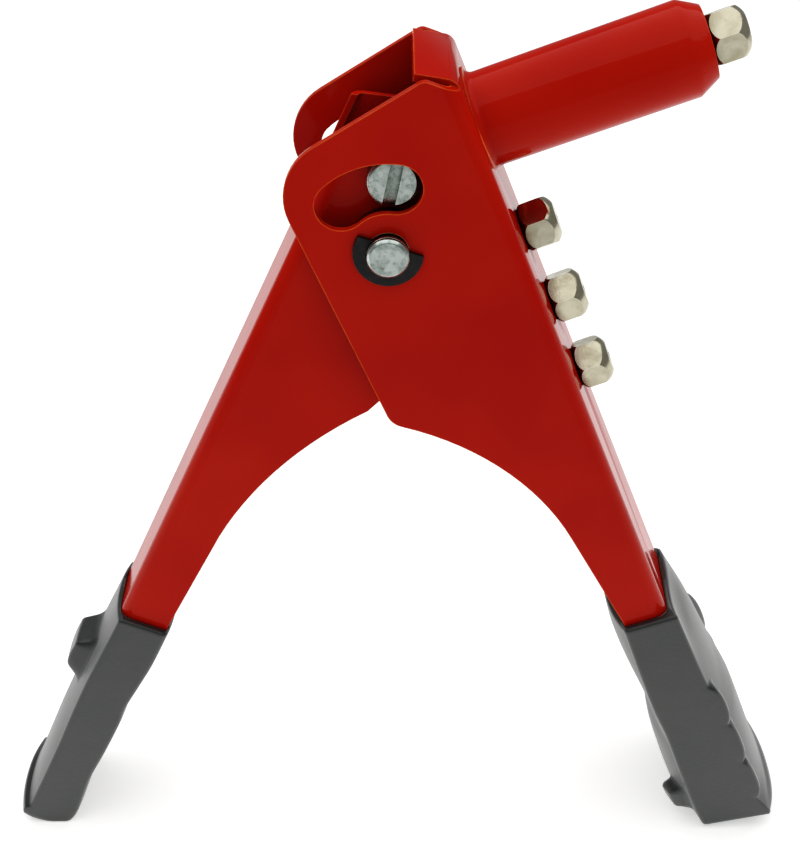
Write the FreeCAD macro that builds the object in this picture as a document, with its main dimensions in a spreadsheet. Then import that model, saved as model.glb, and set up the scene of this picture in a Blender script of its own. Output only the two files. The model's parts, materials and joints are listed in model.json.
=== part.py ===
"""Hand riveter: two pressed-steel levers on one pin, and a jaw train that pulls inside a barrel.

Row frame: the tool stands on its two grip ends, +Z up, +X towards the nose, Y = 0 is the
plane of symmetry and the near side is -Y.  Two slanted frames share the pivot pin's axis:
  fixed frame   +X out of the fixed lever's web, +Z up the lever; the bore frame droops a little
                from it about the barrel's foot, so that the rod's force passes the screw evenly
  moving frame  +X from the moving lever's web into its channel, +Z up the lever
"""
import FreeCAD, Part
import math
import os
import Sketcher

Vector = FreeCAD.Vector
Rotation = FreeCAD.Rotation
Placement = FreeCAD.Placement

doc = FreeCAD.newDocument("hand_riveter")
sheet = doc.addObject("Spreadsheet::Sheet", "dims")

# Driving dimensions: millimetres and degrees.
DIMENSIONS = {
    # stance
    "pivot_across": 3.45, "pivot_height": 176.2, "fixed_tilt": 21.0, "moving_tilt": 26.4,
    # how far a cutting shape passes what it cuts
    "past": 5.0,
    # pressed sheet
    "sheet_gauge": 1.5, "bend_radius": 3.0,
    # fixed lever: outline in the fixed frame
    "shell_width": 33.0, "web_front": 25.3,
    "crown_front": 19.8, "crown_front_up": 30.3, "crown_back_up": 24.3,
    "head_back": 15.8, "heel_back": 15.5, "heel_down": 39.2, "heel_inset": 13.5, "heel_under": 40.7,
    "throat_radius": 65.0, "throat_front": 11.0, "throat_down": 85.0,
    "shank_front": 14.6, "shank_down": 116.5, "fixed_end": 188.0,
    "crown_round": 12.5, "heel_round": 5.0, "brow_round": 2.0,
    # rolled-back tab on top of the web
    "tab_width": 27.0, "tab_start": 25.3, "tab_turn": 58.0, "tab_reach": 6.6,
    # window for the pull screw
    "window_orbit": 13.7, "window_half": 5.25, "window_first": 58.6, "window_last": 112.7,
    # moving lever: outline in the moving frame
    "lever_width": 22.0, "lever_back": 17.2, "ear_back_up": 18.4, "ear_top": 3.0, "ear_top_up": 22.9,
    "ear_front": 15.3, "ear_front_up": 3.0, "knee_down": 35.5, "knee_inset": 13.6, "knee_under": 40.4,
    "sweep_radius": 94.0, "sweep_front": 3.6, "sweep_down": 88.0, "rim_front": 5.0, "rim_down": 122.0,
    "tang_front": 6.8, "tang_down": 140.0, "moving_end": 192.0, "lever_web_up": 4.0,
    "ear_round": 5.0, "knee_round": 3.0,
    # pivot
    "pivot_radius": 4.3, "pivot_half": 20.0, "pivot_play": 0.05, "groove_depth": 0.85, "groove_width": 1.2,
    "clip_radius": 7.2, "clip_gauge": 1.1, "clip_mouth": 1.8, "clip_turn": 20.0,
    "ring_groove": 18.6, "ring_groove_width": 0.45, "ring_groove_depth": 0.4,
    "spacer_radius": 7.5, "side_play": 0.1, "sleeve_radius": 5.5,
    # pull screw
    "bore_rise": 12.6, "bore_droop": 2.0, "pull_out": 6.3,
    "screw_radius": 3.0, "screw_head_radius": 5.2, "screw_head_out": 14.6, "screw_end": 14.4,
    "driver_width": 2.6, "driver_depth": 1.7, "driver_turn": 13.0,
    "pull_nut_flats": 9.0, "pull_nut_height": 3.0, "collar_radius": 4.6,
    # barrel
    "barrel_radius": 9.8, "barrel_end": 72.5, "muzzle_radius": 7.45, "muzzle_length": 4.2, "bead": 1.6,
    "spigot_radius": 7.8, "spigot_end": 19.8, "bore_radius": 6.2, "bore_end": 66.0, "nose_thread": 3.9,
    "barrel_nut_flats": 21.0, "barrel_nut_height": 3.8, "seat_spare": 0.5,
    "crown_slope_wide": 1.2, "crown_slope_high": 0.6,
    "guide_hole": 3.58, "guide_flange": 7.4, "guide_back": 18.4, "guide_front": 22.3,
    # nosepieces
    "nose_flats": 10.0, "nose_height": 7.7, "nose_stem": 6.5, "nose_wide": 5.9,
    "nose_foot": 4.35, "nose_foot_height": 2.2, "nose_foot_round": 3.2,
    "nose_crown": 3.4, "nose_dome_height": 2.8, "nose_dome_round": 4.6,
    "nose_tip_radius": 2.5, "nose_tip": 3.9, "spare_first": 13.6, "spare_pitch": 18.5,
    "mandrel_small": 0.8, "mandrel_fitted": 1.0, "mandrel_medium": 1.25, "mandrel_large": 1.5,
    # jaw train
    "rod_radius": 3.5, "rod_end": 45.5, "rod_bore": 1.6, "rod_bore_end": 16.0,
    "eye_back": 0.3, "eye_front": 12.3, "eye_under": 5.6, "eye_over": 19.8, "eye_width": 12.0,
    "slot_play": 0.22, "slot_rise": 0.65, "slot_sink": 0.7, "slot_spare": 0.5,
    "case_radius": 6.12, "case_back": 41.0, "case_front": 62.5, "chamber_radius": 4.6, "chamber_back": 46.0,
    "cone_back": 54.0, "cone_front": 61.0, "cone_exit": 2.9,
    "lock_nut_flats": 10.0, "lock_nut_back": 38.0, "lock_nut_height": 3.0,
    "jaw_play": 0.15, "jaw_back": 55.3, "jaw_front": 61.6, "jaw_hole": 1.2, "jaw_sector": 90.0,
    "pusher_back": 50.0, "pusher_front": 55.1, "pusher_radius": 3.9, "pusher_hole": 1.7,
    "return_wire": 0.5, "return_coil": 4.9, "return_turns": 4.0,
    "pusher_wire": 0.3, "pusher_coil": 3.2, "pusher_turns": 5.0,
    # rubber grips
    "fixed_grip_width": 37.0, "moving_grip_width": 26.0, "thumb_stop_width": 10.0,
    "stud_back": 4.6, "stud_side": -15.5, "stud_down": -188.2,
    "stud_long": 5.4, "stud_wide": 5.5, "stud_high": 7.0,
}


class Size:
    """A dimension that knows both its value and the sheet expression that gives it."""

    def __init__(self, value, text):
        self.value = value
        self.text = text

    def __neg__(self):
        return Size(-self.value, f"-({self.text})")

    def __add__(self, other):
        other = as_size(other)
        return Size(self.value + other.value, f"({self.text} + {other.text})")

    def __sub__(self, other):
        other = as_size(other)
        return Size(self.value - other.value, f"({self.text} - {other.text})")

    def __mul__(self, other):
        other = as_size(other)
        return Size(self.value * other.value, f"({self.text} * {other.text})")

    def __truediv__(self, other):
        other = as_size(other)
        return Size(self.value / other.value, f"({self.text} / {other.text})")


def as_size(number):
    return number if isinstance(number, Size) else Size(float(number), f"({number})")


def cosine(angle):
    return Size(math.cos(math.radians(angle.value)), f"cos({angle.text})")


def sine(angle):
    return Size(math.sin(math.radians(angle.value)), f"sin({angle.text})")


def fill_sheet():
    """Write each driving dimension and its alias, and return them as named sizes."""
    sizes = {}
    for row, (alias, number) in enumerate(DIMENSIONS.items(), start=1):
        sheet.set(f"A{row}", alias)
        sheet.set(f"B{row}", str(number))
        sheet.setAlias(f"B{row}", alias)
        sizes[alias] = Size(float(number), f"dims.{alias}")
    doc.recompute()
    return type("Sizes", (), sizes)


D = fill_sheet()
NODES = []

PIVOT = Vector(D.pivot_across.value, 0, D.pivot_height.value)
FIXED = Placement(PIVOT, Rotation(Vector(0, 1, 0), -D.fixed_tilt.value))
BORE_FOOT = Vector(D.web_front.value, 0, D.bore_rise.value)
DROOP = Rotation(Vector(0, 1, 0), D.bore_droop.value)
BORE = FIXED.multiply(Placement(BORE_FOOT - DROOP.multVec(BORE_FOOT), DROOP))
MOVING = Placement(PIVOT, Rotation(Vector(0, 1, 0), D.moving_tilt.value))
TO_NEAR_SIDE = Rotation(Vector(1, 0, 0), 90)
TO_NOSE = Rotation(Vector(0, 1, 0), 90)


def along_bore(spin=0.0):
    """Frame on the barrel's axis: local Z is the distance out from the pivot."""
    turn = TO_NOSE.multiply(Rotation(Vector(0, 0, 1), spin))
    return BORE.multiply(Placement(Vector(0, 0, D.bore_rise.value), turn))


def on_web(down, spin=0.0):
    """Frame of a spare nosepiece: local Z is the distance out from the pivot."""
    turn = TO_NOSE.multiply(Rotation(Vector(0, 0, 1), spin))
    return FIXED.multiply(Placement(Vector(0, 0, -down), turn))


def across_pivot(side=1):
    """Frame on the pivot's axis: local Z points to the near side, or away for side -1."""
    return Placement(PIVOT, Rotation(Vector(1, 0, 0), 90 * side))


def across_pull():
    """Frame on the pull screw's axis: local Z points to the near side."""
    spot = Vector(D.pull_out.value, 0, D.bore_rise.value)
    return FIXED.multiply(Placement(spot, TO_NEAR_SIDE))


def keep(obj, name):
    """Make obj the node of that name."""
    obj.Label = name
    NODES.append(obj)
    return obj


def bind(obj, **sizes):
    """Bind each named property to its expression."""
    for prop, size in sizes.items():
        obj.setExpression(prop, as_size(size).text)


def new_sketch(body, role, name):
    plane = [item for item in body.Origin.OriginFeatures if item.Role == role][0]
    sketch = body.newObject("Sketcher::SketchObject", name)
    sketch.AttachmentSupport = (plane, [""])
    sketch.MapMode = "FlatFace"
    return sketch


def hold(sketch, kind, geo, point, size):
    """Hold a point at a distance from the sketch's origin; zero puts it on the axis."""
    if abs(size.value) < 1e-9:
        axis = -2 if kind == "DistanceX" else -1
        sketch.addConstraint(Sketcher.Constraint("PointOnObject", geo, point, axis))
        return
    index = sketch.addConstraint(Sketcher.Constraint(kind, -1, 1, geo, point, size.value))
    sketch.setExpression(f"Constraints[{index}]", size.text)


def draw_arc(sketch, start, end, radius, left):
    """Arc from start to end; its centre lies left or right of the way from one to the other."""
    chord = end - start
    middle = (start + end) * 0.5
    rise = math.sqrt(max(radius ** 2 - (chord.Length / 2) ** 2, 0.0))
    normal = Vector(-chord.y, chord.x, 0).normalize()
    centre = middle + normal * (rise if left else -rise)
    first, last = (start, end) if left else (end, start)
    angles = [math.atan2(p.y - centre.y, p.x - centre.x) for p in (first, last)]
    circle = Part.Circle(centre, Vector(0, 0, 1), radius)
    return sketch.addGeometry(Part.ArcOfCircle(circle, angles[0], angles[1]), False)


def draw_outline(sketch, points, arcs=None):
    """Closed outline through points; arcs maps an edge's number to (radius, centre on the left)."""
    arcs = arcs or {}
    spots = [Vector(x.value, y.value, 0) for x, y in points]
    ends = []
    for number, spot in enumerate(spots):
        nxt = spots[(number + 1) % len(spots)]
        if number in arcs:
            radius, left = arcs[number]
            geo = draw_arc(sketch, spot, nxt, radius.value, left)
            ends.append((geo, 1, 2) if left else (geo, 2, 1))
        else:
            geo = sketch.addGeometry(Part.LineSegment(spot, nxt), False)
            ends.append((geo, 1, 2))
    for number, (geo, _, last) in enumerate(ends):
        after, first, _ = ends[(number + 1) % len(ends)]
        sketch.addConstraint(Sketcher.Constraint("Coincident", geo, last, after, first))
    for (geo, first, _), (x, y) in zip(ends, points):
        hold(sketch, "DistanceX", geo, first, x)
        hold(sketch, "DistanceY", geo, first, y)
    for number, (radius, _) in arcs.items():
        index = sketch.addConstraint(Sketcher.Constraint("Radius", ends[number][0], radius.value))
        sketch.setExpression(f"Constraints[{index}]", radius.text)


def draw_circle(sketch, x, y, radius):
    circle = Part.Circle(Vector(x.value, y.value, 0), Vector(0, 0, 1), radius.value)
    geo = sketch.addGeometry(circle, False)
    hold(sketch, "DistanceX", geo, 3, x)
    hold(sketch, "DistanceY", geo, 3, y)
    index = sketch.addConstraint(Sketcher.Constraint("Radius", geo, radius.value))
    sketch.setExpression(f"Constraints[{index}]", radius.text)


def sized(points):
    return [(as_size(x), as_size(y)) for x, y in points]


def new_body(name, where):
    body = doc.addObject("PartDesign::Body", name)
    body.Placement = where
    return body


def pad(body, name, points, width, arcs=None, role="XZ_Plane"):
    """Symmetric pad of an outline."""
    sketch = new_sketch(body, role, name + "_outline")
    draw_outline(sketch, sized(points), arcs)
    feature = body.newObject("PartDesign::Pad", name + "_pad")
    feature.Profile = sketch
    feature.SideType = "Symmetric"
    bind(feature, Length=width)
    doc.recompute()
    return feature


def pocket(body, name, draw, role="XZ_Plane"):
    """Pocket through everything both ways; draw fills its sketch."""
    before = body.Shape.Volume
    sketch = new_sketch(body, role, name + "_outline")
    draw(sketch)
    feature = body.newObject("PartDesign::Pocket", name + "_pocket")
    feature.Profile = sketch
    feature.Type = "ThroughAll"
    feature.SideType = "Symmetric"
    doc.recompute()
    if body.Shape.Volume > before - 1e-3:
        raise RuntimeError(f"{name} cuts nothing")
    return feature


def round_edges(body, name, radius, wanted):
    """Fillet the tip's straight cross edges at the wanted (x, z) corners of the body's frame."""
    tip = body.Tip
    names = []
    for number, edge in enumerate(tip.Shape.Edges, start=1):
        middle = edge.CenterOfMass
        level = edge.Curve.TypeId == "Part::GeomLine" and abs(edge.tangentAt(edge.FirstParameter).y) > 0.99
        if level and any(math.hypot(middle.x - x.value, middle.z - z.value) < 0.2 for x, z in sized(wanted)):
            names.append(f"Edge{number}")
    if len(names) < len(wanted):
        raise RuntimeError(f"{name}: {len(names)} edges found for {len(wanted)} corners")
    feature = body.newObject("PartDesign::Fillet", name)
    feature.Base = (tip, names)
    bind(feature, Radius=radius)
    doc.recompute()
    return feature


def turned(name, points, where, arcs=None, angle=None):
    """Turn a profile of (radius, distance along the axis) points about the local Z axis."""
    body = new_body(name, where)
    sketch = new_sketch(body, "XZ_Plane", name + "_profile")
    draw_outline(sketch, sized(points), arcs)
    feature = body.newObject("PartDesign::Revolution", name + "_turning")
    feature.Profile = sketch
    feature.ReferenceAxis = (sketch, ["V_Axis"])
    if angle is None:
        feature.Angle = 360
    else:
        feature.Midplane = True
        bind(feature, Angle=angle)
    doc.recompute()
    return body


def tube(name, outer, inner, low, high, where):
    return turned(name, [(inner, low), (outer, low), (outer, high), (inner, high)], where)


def cylinder(name, radius, low, high, where):
    """Plain round bar between two distances along the local Z axis."""
    bar = doc.addObject("Part::Cylinder", name)
    bind(bar, Radius=radius, Height=as_size(high) - low)
    bar.Placement = where.multiply(Placement(Vector(0, 0, as_size(low).value), Rotation()))
    return bar


def block(name, size_x, size_y, size_z, where):
    box = doc.addObject("Part::Box", name)
    bind(box, Length=size_x, Width=size_y, Height=size_z)
    box.Placement = where
    return box


def boolean(kind, name, base, tool):
    """Part::Cut, Part::Common or Part::Fuse of two objects."""
    result = doc.addObject("Part::" + kind, name)
    result.Base, result.Tool = base, tool
    doc.recompute()
    return result


def hexagon(name, flats, low, high, where):
    """Hexagonal prism between two distances along the local Z axis."""
    prism = doc.addObject("Part::Prism", name)
    prism.Polygon = 6
    bind(prism, Circumradius=as_size(flats) / as_size(math.sqrt(3.0)), Height=as_size(high) - low)
    prism.Placement = where.multiply(Placement(Vector(0, 0, as_size(low).value), Rotation()))
    return prism


def ground(x, tilt):
    """Height of the ground in a slanted frame at the local distance x."""
    return -(D.pivot_height + x * sine(tilt)) / cosine(tilt)


# ---------------------------------------------------------------- fixed lever

def make_body_shell():
    """Folded channel: web in front, two side plates, throat, shank and rolled-back tab."""
    body = new_body("shell_metal", FIXED)
    outline = [
        (D.web_front, D.tab_start), (D.crown_front, D.crown_front_up), (-D.head_back, D.crown_back_up),
        (-D.heel_back, -D.heel_down), (-D.heel_inset, -D.heel_under), (D.throat_front, -D.throat_down),
        (D.shank_front, -D.shank_down), (D.shank_front, -D.fixed_end), (D.web_front, -D.fixed_end),
    ]
    pad(body, "shell", outline, D.shell_width, {4: (D.throat_radius, False)})
    round_edges(body, "crown_corner", D.crown_round, [(-D.head_back, D.crown_back_up)])
    round_edges(body, "heel_corner", D.heel_round, [(-D.heel_back, -D.heel_down)])
    round_edges(body, "brow_corner", D.brow_round, [(D.crown_front, D.crown_front_up)])
    round_web(body, "shell_bend", D.web_front)
    hollow(body, "shell_hollow", D.web_front, -1, D.shell_width)
    pocket(body, "spare_holes", draw_spare_holes, "YZ_Plane")
    pocket(body, "pivot_holes", lambda sketch: draw_circle(
        sketch, as_size(0), as_size(0), D.pivot_radius))
    pocket(body, "window", draw_window)
    blank = boolean("Fuse", "shell_blank", body, make_tab())
    drill = cylinder("barrel_drill", D.spigot_radius, D.spigot_end, D.web_front + D.past, along_bore())
    return keep(boolean("Cut", "body_shell", blank, drill), "body_shell")


def round_web(body, name, front):
    """Round the two long outer corners between the web and the side plates."""
    tip = body.Tip
    names = []
    for number, edge in enumerate(tip.Shape.Edges, start=1):
        upright = edge.Curve.TypeId == "Part::GeomLine" and abs(edge.tangentAt(edge.FirstParameter).z) > 0.999
        if upright and abs(edge.CenterOfMass.x - front.value) < 0.01:
            names.append(f"Edge{number}")
    feature = body.newObject("PartDesign::Fillet", name)
    feature.Base = (tip, names)
    bind(feature, Radius=D.bend_radius)
    doc.recompute()


def hollow(body, name, front, away, width):
    """Clear the channel behind its web; away is -1 where the web is on the +X side."""
    inner = front - D.sheet_gauge if away < 0 else front + D.sheet_gauge
    half = width / 2 - D.sheet_gauge
    corner = D.bend_radius - D.sheet_gauge
    mouth = inner + 80 * away
    shoulder = inner + corner * away
    side = half - corner
    points = [(mouth, -half), (shoulder, -half), (inner, -side),
              (inner, side), (shoulder, half), (mouth, half)]
    left = away < 0
    pocket(body, name, lambda sketch: draw_outline(
        sketch, sized(points), {1: (corner, left), 3: (corner, left)}), "XY_Plane")


def draw_spare_holes(sketch):
    for place in range(3):
        draw_circle(sketch, as_size(0), -(D.spare_first + D.spare_pitch * place), D.nose_thread)


def draw_window(sketch):
    """Kidney window concentric with the pivot, in which the pull screw's head travels."""
    outer = D.window_orbit + D.window_half
    inner = D.window_orbit - D.window_half
    first, last = D.window_first, D.window_last
    points = [(outer * cosine(first), outer * sine(first)), (outer * cosine(last), outer * sine(last)),
              (inner * cosine(last), inner * sine(last)), (inner * cosine(first), inner * sine(first))]
    end = D.window_half + 0.02
    draw_outline(sketch, points, {0: (outer, True), 1: (end, True), 2: (inner, False), 3: (end, True)})


def make_tab():
    """Tab bent back over the head from the top of the web."""
    body = new_body("shell_tab", FIXED)
    centre_x, centre_z = D.web_front - D.bend_radius, D.tab_start
    inner = D.bend_radius - D.sheet_gauge
    turn_x, turn_z = cosine(D.tab_turn), sine(D.tab_turn)
    reach_x, reach_z = D.tab_reach * turn_z, D.tab_reach * turn_x
    root = D.tab_start - 1
    points = [
        (D.web_front, root), (D.web_front, centre_z),
        (centre_x + D.bend_radius * turn_x, centre_z + D.bend_radius * turn_z),
        (centre_x + D.bend_radius * turn_x - reach_x, centre_z + D.bend_radius * turn_z + reach_z),
        (centre_x + inner * turn_x - reach_x, centre_z + inner * turn_z + reach_z),
        (centre_x + inner * turn_x, centre_z + inner * turn_z),
        (D.web_front - D.sheet_gauge, centre_z), (D.web_front - D.sheet_gauge, root),
    ]
    pad(body, "tab", points, D.tab_width, {1: (D.bend_radius, True), 5: (inner, False)})
    return body


def make_fixed_grip():
    """Rubber sleeve over the shank, with a finger stop inside and a lip at its foot."""
    body = new_body("fixed_grip_blank", FIXED)
    foot_front, foot_back = as_size(17.0), as_size(11.6)
    points = [
        (28.9, -115.5), (31.5, -143.0), (33.0, -160.0), (33.0, -193.4), (34.0, -194.2), (34.0, -197.5),
        (22.0, ground(foot_front, D.fixed_tilt)), (foot_front, ground(foot_front, D.fixed_tilt)),
        (foot_back, ground(foot_back, D.fixed_tilt)),
        (8.4, -187.5), (8.1, -178.0), (8.9, -166.0), (11.6, -151.0), (10.6, -135.0),
        (11.2, -118.5),
    ]
    pad(body, "fixed_grip", points, D.fixed_grip_width)
    end, front, back = -D.fixed_end, D.web_front, D.shank_front
    cavity = [(front, end), (front, -100), (back, -100), (back, end)]
    rubber = sleeve(body, "fixed_grip_rubber", cavity, D.shell_width)
    corner = Vector(D.stud_back.value, D.stud_side.value, D.stud_down.value)
    where = FIXED.multiply(Placement(corner, Rotation()))
    stud = block("latch_stud", D.stud_long, D.stud_wide, D.stud_high, where)
    return keep(boolean("Fuse", "fixed_grip", rubber, stud), "fixed_grip")


def sleeve(body, name, cavity, width):
    """Clear the room that the steel channel fills."""
    before = body.Shape.Volume
    sketch = new_sketch(body, "XZ_Plane", name + "_room")
    draw_outline(sketch, sized(cavity))
    feature = body.newObject("PartDesign::Pocket", name + "_room_pocket")
    feature.Profile = sketch
    feature.SideType = "Symmetric"
    bind(feature, Length=width)
    doc.recompute()
    if body.Shape.Volume > before - 1e-3:
        raise RuntimeError(f"{name} has no room for its lever")
    return body


# --------------------------------------------------------------- moving lever

def make_moving_handle():
    """Narrower folded channel: web at the back, two ears between the fixed side plates."""
    body = new_body("moving_handle", MOVING)
    outline = [
        (-D.lever_back, D.ear_back_up), (-D.lever_back, -D.moving_end), (-D.tang_front, -D.moving_end),
        (-D.tang_front, -D.tang_down), (-D.rim_front, -D.rim_down), (-D.sweep_front, -D.sweep_down),
        (D.knee_inset, -D.knee_under), (D.ear_front, -D.knee_down), (D.ear_front, D.ear_front_up),
        (-D.ear_top, D.ear_top_up),
    ]
    pad(body, "lever", outline, D.lever_width, {5: (D.sweep_radius, False)})
    round_edges(body, "ear_corner", D.ear_round, [(-D.ear_top, D.ear_top_up)])
    round_edges(body, "front_corner", D.ear_round, [(D.ear_front, D.ear_front_up)])
    round_edges(body, "knee_corner", D.knee_round, [(D.ear_front, -D.knee_down)])
    round_web(body, "lever_bend", -D.lever_back)
    hollow(body, "lever_hollow", -D.lever_back, 1, D.lever_width)
    pocket(body, "web_notch", draw_web_notch, "YZ_Plane")
    bored = D.pivot_radius + D.pivot_play
    pocket(body, "lever_pivot_holes", lambda sketch: draw_circle(sketch, as_size(0), as_size(0), bored))
    pull = MOVING.inverse().multVec(across_pull().Base)
    spot = (Size(pull.x, f"({pull.x})"), Size(pull.z, f"({pull.z})"))
    pocket(body, "lever_pull_holes", lambda sketch: draw_circle(sketch, *spot, D.screw_radius))
    return keep(body, "moving_handle")


def draw_web_notch(sketch):
    """Open the top of the web, so that the pull eye and spent mandrels have room."""
    side = D.lever_width / 2 - D.bend_radius
    low = D.lever_web_up
    points = [(-side, low), (side, low), (side, low + 40), (-side, low + 40)]
    draw_outline(sketch, sized(points))


def make_moving_grip():
    """Rubber sleeve over the moving lever, with a thumb stop outside and a lip at its foot."""
    body = new_body("moving_grip", MOVING)
    tilt = -D.moving_tilt
    foot_back, foot_front = as_size(-12.4), as_size(-5.4)
    points = [
        (-18.4, -121.5), (-19.2, -141.0), (-19.6, -165.0), (-19.3, -197.8), (-20.6, -199.0),
        (-20.6, -204.6),
        (foot_back, ground(foot_back, tilt)), (foot_front, ground(foot_front, tilt)),
        (-4.7, -196.0), (-5.5, -180.0), (-4.9, -158.0), (-5.3, -150.0), (-4.0, -130.0), (-3.9, -123.5),
    ]
    pad(body, "moving_grip", points, D.moving_grip_width)
    stop = [(-18.6, -137.5), (-18.6, -153.0), (-23.6, -146.6), (-23.6, -143.4)]
    pad(body, "thumb_stop", stop, D.thumb_stop_width)
    cavity = [
        (-D.lever_back, -100), (-D.lever_back, -D.moving_end), (-D.tang_front, -D.moving_end),
        (-D.tang_front, -D.tang_down), (-D.rim_front, -D.rim_down), (-D.rim_front, -100),
    ]
    return keep(sleeve(body, "moving_grip", cavity, D.lever_width), "moving_grip")


# ---------------------------------------------------------------------- pivot

def make_pivot():
    """Pivot pin held by an open clip on each side, its spacers and the sleeve between the ears."""
    radius, half = D.pivot_radius, D.pivot_half
    groove = D.shell_width / 2
    floor = radius - D.groove_depth
    profile = [(0, -half), (radius - 0.6, -half), (radius, -half + 0.6)]
    for low in (-groove - D.groove_width, groove):
        high = low + D.groove_width
        profile += [(radius, low), (floor, low), (floor, high), (radius, high)]
    floor, low = radius - D.ring_groove_depth, D.ring_groove
    high = low + D.ring_groove_width
    profile += [(radius, low), (floor, low), (floor, high), (radius, high)]
    profile += [(radius, half - 0.6), (radius - 0.6, half), (0, half)]
    keep(turned("pivot_pin", profile, across_pivot()), "pivot_pin")
    inner, outer = D.lever_width / 2, D.shell_width / 2 - D.sheet_gauge
    for side, name in ((1, "near"), (-1, "far")):
        make_clip("pivot_clip_" + name, side)
        spacer = tube("pivot_spacer_" + name, D.spacer_radius, radius, inner + D.side_play, outer,
                      across_pivot(side))
        keep(spacer, "pivot_spacer_" + name)
    gap = inner - D.sheet_gauge
    sleeve_round_pin = tube("pivot_sleeve", D.sleeve_radius, radius + D.pivot_play, -gap, gap, across_pivot())
    keep(sleeve_round_pin, "pivot_sleeve")


def make_clip(name, side):
    """Open clip in the pin's groove, against the plate, with its mouth upwards."""
    where = across_pivot(side)
    low = D.shell_width / 2
    grip = D.pivot_radius - D.groove_depth
    ring = tube(name + "_ring", D.clip_radius, grip, low, low + D.clip_gauge, where)
    reach = D.clip_radius * 2
    corner = Placement(Vector(-D.clip_radius.value, D.clip_mouth.value, (low - D.past).value), Rotation())
    if side > 0:
        turn = Placement(Vector(), Rotation(Vector(0, 0, 1), -D.clip_turn.value))
    else:
        turn = Placement(Vector(), Rotation(Vector(0, 0, 1), 180 + D.clip_turn.value))
    mouth = block(name + "_mouth", reach, reach, D.clip_gauge + D.past * 2,
                  where.multiply(turn).multiply(corner))
    keep(boolean("Cut", name, ring, mouth), name)


def make_pull_screw():
    """Slotted screw through the ears and the pull eye, its nut, and a collar on each side."""
    where = across_pull()
    ear = D.lever_width / 2
    head, shank, top = D.screw_head_radius, D.screw_radius, D.screw_head_out
    profile = [(0, -D.screw_end), (shank - 0.5, -D.screw_end), (shank, -D.screw_end + 0.5), (shank, ear),
               (head, ear), (head, top - 0.5), (head - 0.6, top), (0, top)]
    blank = turned("screw_blank", profile, where)
    turn = Rotation(Vector(0, 0, 1), -D.driver_turn.value - D.fixed_tilt.value)
    long = (head + D.past) * 2
    corner = Vector(-D.driver_width.value / 2, -long.value / 2, (top - D.driver_depth).value)
    slot = block("driver_slot", D.driver_width, long, D.driver_depth + D.past,
                 where.multiply(Placement(Vector(), turn)).multiply(Placement(corner, Rotation())))
    keep(boolean("Cut", "pull_screw", blank, slot), "pull_screw")
    keep(make_nut("pull_nut", D.pull_nut_flats, shank, -ear - D.pull_nut_height, -ear, where), "pull_nut")
    inner, outer = D.eye_width / 2 + D.side_play, ear - D.sheet_gauge
    keep(tube("pull_collar_near", D.collar_radius, shank, inner, outer, where), "pull_collar_near")
    keep(tube("pull_collar_far", D.collar_radius, shank, -outer, -inner, where), "pull_collar_far")


def make_nut(name, flats, hole, low, high, where):
    """Hexagon nut with both faces crowned."""
    low, high = as_size(low), as_size(high)
    crown = flats / 2
    corner = crown + D.crown_slope_wide
    inner, outer = low + D.crown_slope_high, high - D.crown_slope_high
    profile = [(hole, low), (crown, low), (corner, inner), (corner, outer), (crown, high), (hole, high)]
    blank = turned(name + "_turned", profile, where)
    prism = hexagon(name + "_hexagon", flats, low - D.past, high + D.past, where)
    return boolean("Common", name, blank, prism)


# --------------------------------------------------------------------- barrel

def make_barrel():
    """Barrel with a spigot through the web, its nut and the guide in its back end."""
    where = along_bore()
    collar, seat = D.barrel_radius + D.bead, D.web_front - D.seat_spare
    profile = [
        (D.bore_radius, D.spigot_end), (D.spigot_radius, D.spigot_end), (D.spigot_radius, seat),
        (collar, seat), (collar, D.web_front), (D.barrel_radius, D.web_front + D.bead),
        (D.barrel_radius, D.barrel_end - D.muzzle_length), (D.muzzle_radius, D.barrel_end),
        (D.nose_thread, D.barrel_end), (D.nose_thread, D.bore_end), (D.bore_radius, D.bore_end),
    ]
    blank = turned("barrel_blank", profile, where, {4: (D.bead, False)})
    web = make_web_slab()
    keep(boolean("Cut", "barrel", blank, web), "barrel")
    back = D.web_front - D.sheet_gauge
    nut = make_nut("barrel_nut_blank", D.barrel_nut_flats, D.spigot_radius, back - D.barrel_nut_height,
                   back + D.seat_spare, where)
    keep(boolean("Cut", "barrel_nut", nut, web), "barrel_nut")
    profile = [
        (D.guide_hole, D.guide_back), (D.guide_flange, D.guide_back), (D.guide_flange, D.spigot_end),
        (D.bore_radius, D.spigot_end), (D.bore_radius, D.guide_front), (D.guide_hole, D.guide_front),
    ]
    keep(turned("guide_bush", profile, where), "guide_bush")


def make_web_slab():
    """The web's steel round the barrel's foot, for seating the barrel and its nut flat against it."""
    wide = D.shell_width
    corner = Vector((D.web_front - D.sheet_gauge).value, -wide.value / 2, (D.bore_rise - wide / 2).value)
    slab = block("web_slab", D.sheet_gauge, wide, wide, FIXED.multiply(Placement(corner, Rotation())))
    drill = cylinder("slab_drill", D.spigot_radius, D.spigot_end, D.web_front + D.past, along_bore())
    return boolean("Cut", "web_round_barrel", slab, drill)


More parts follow.
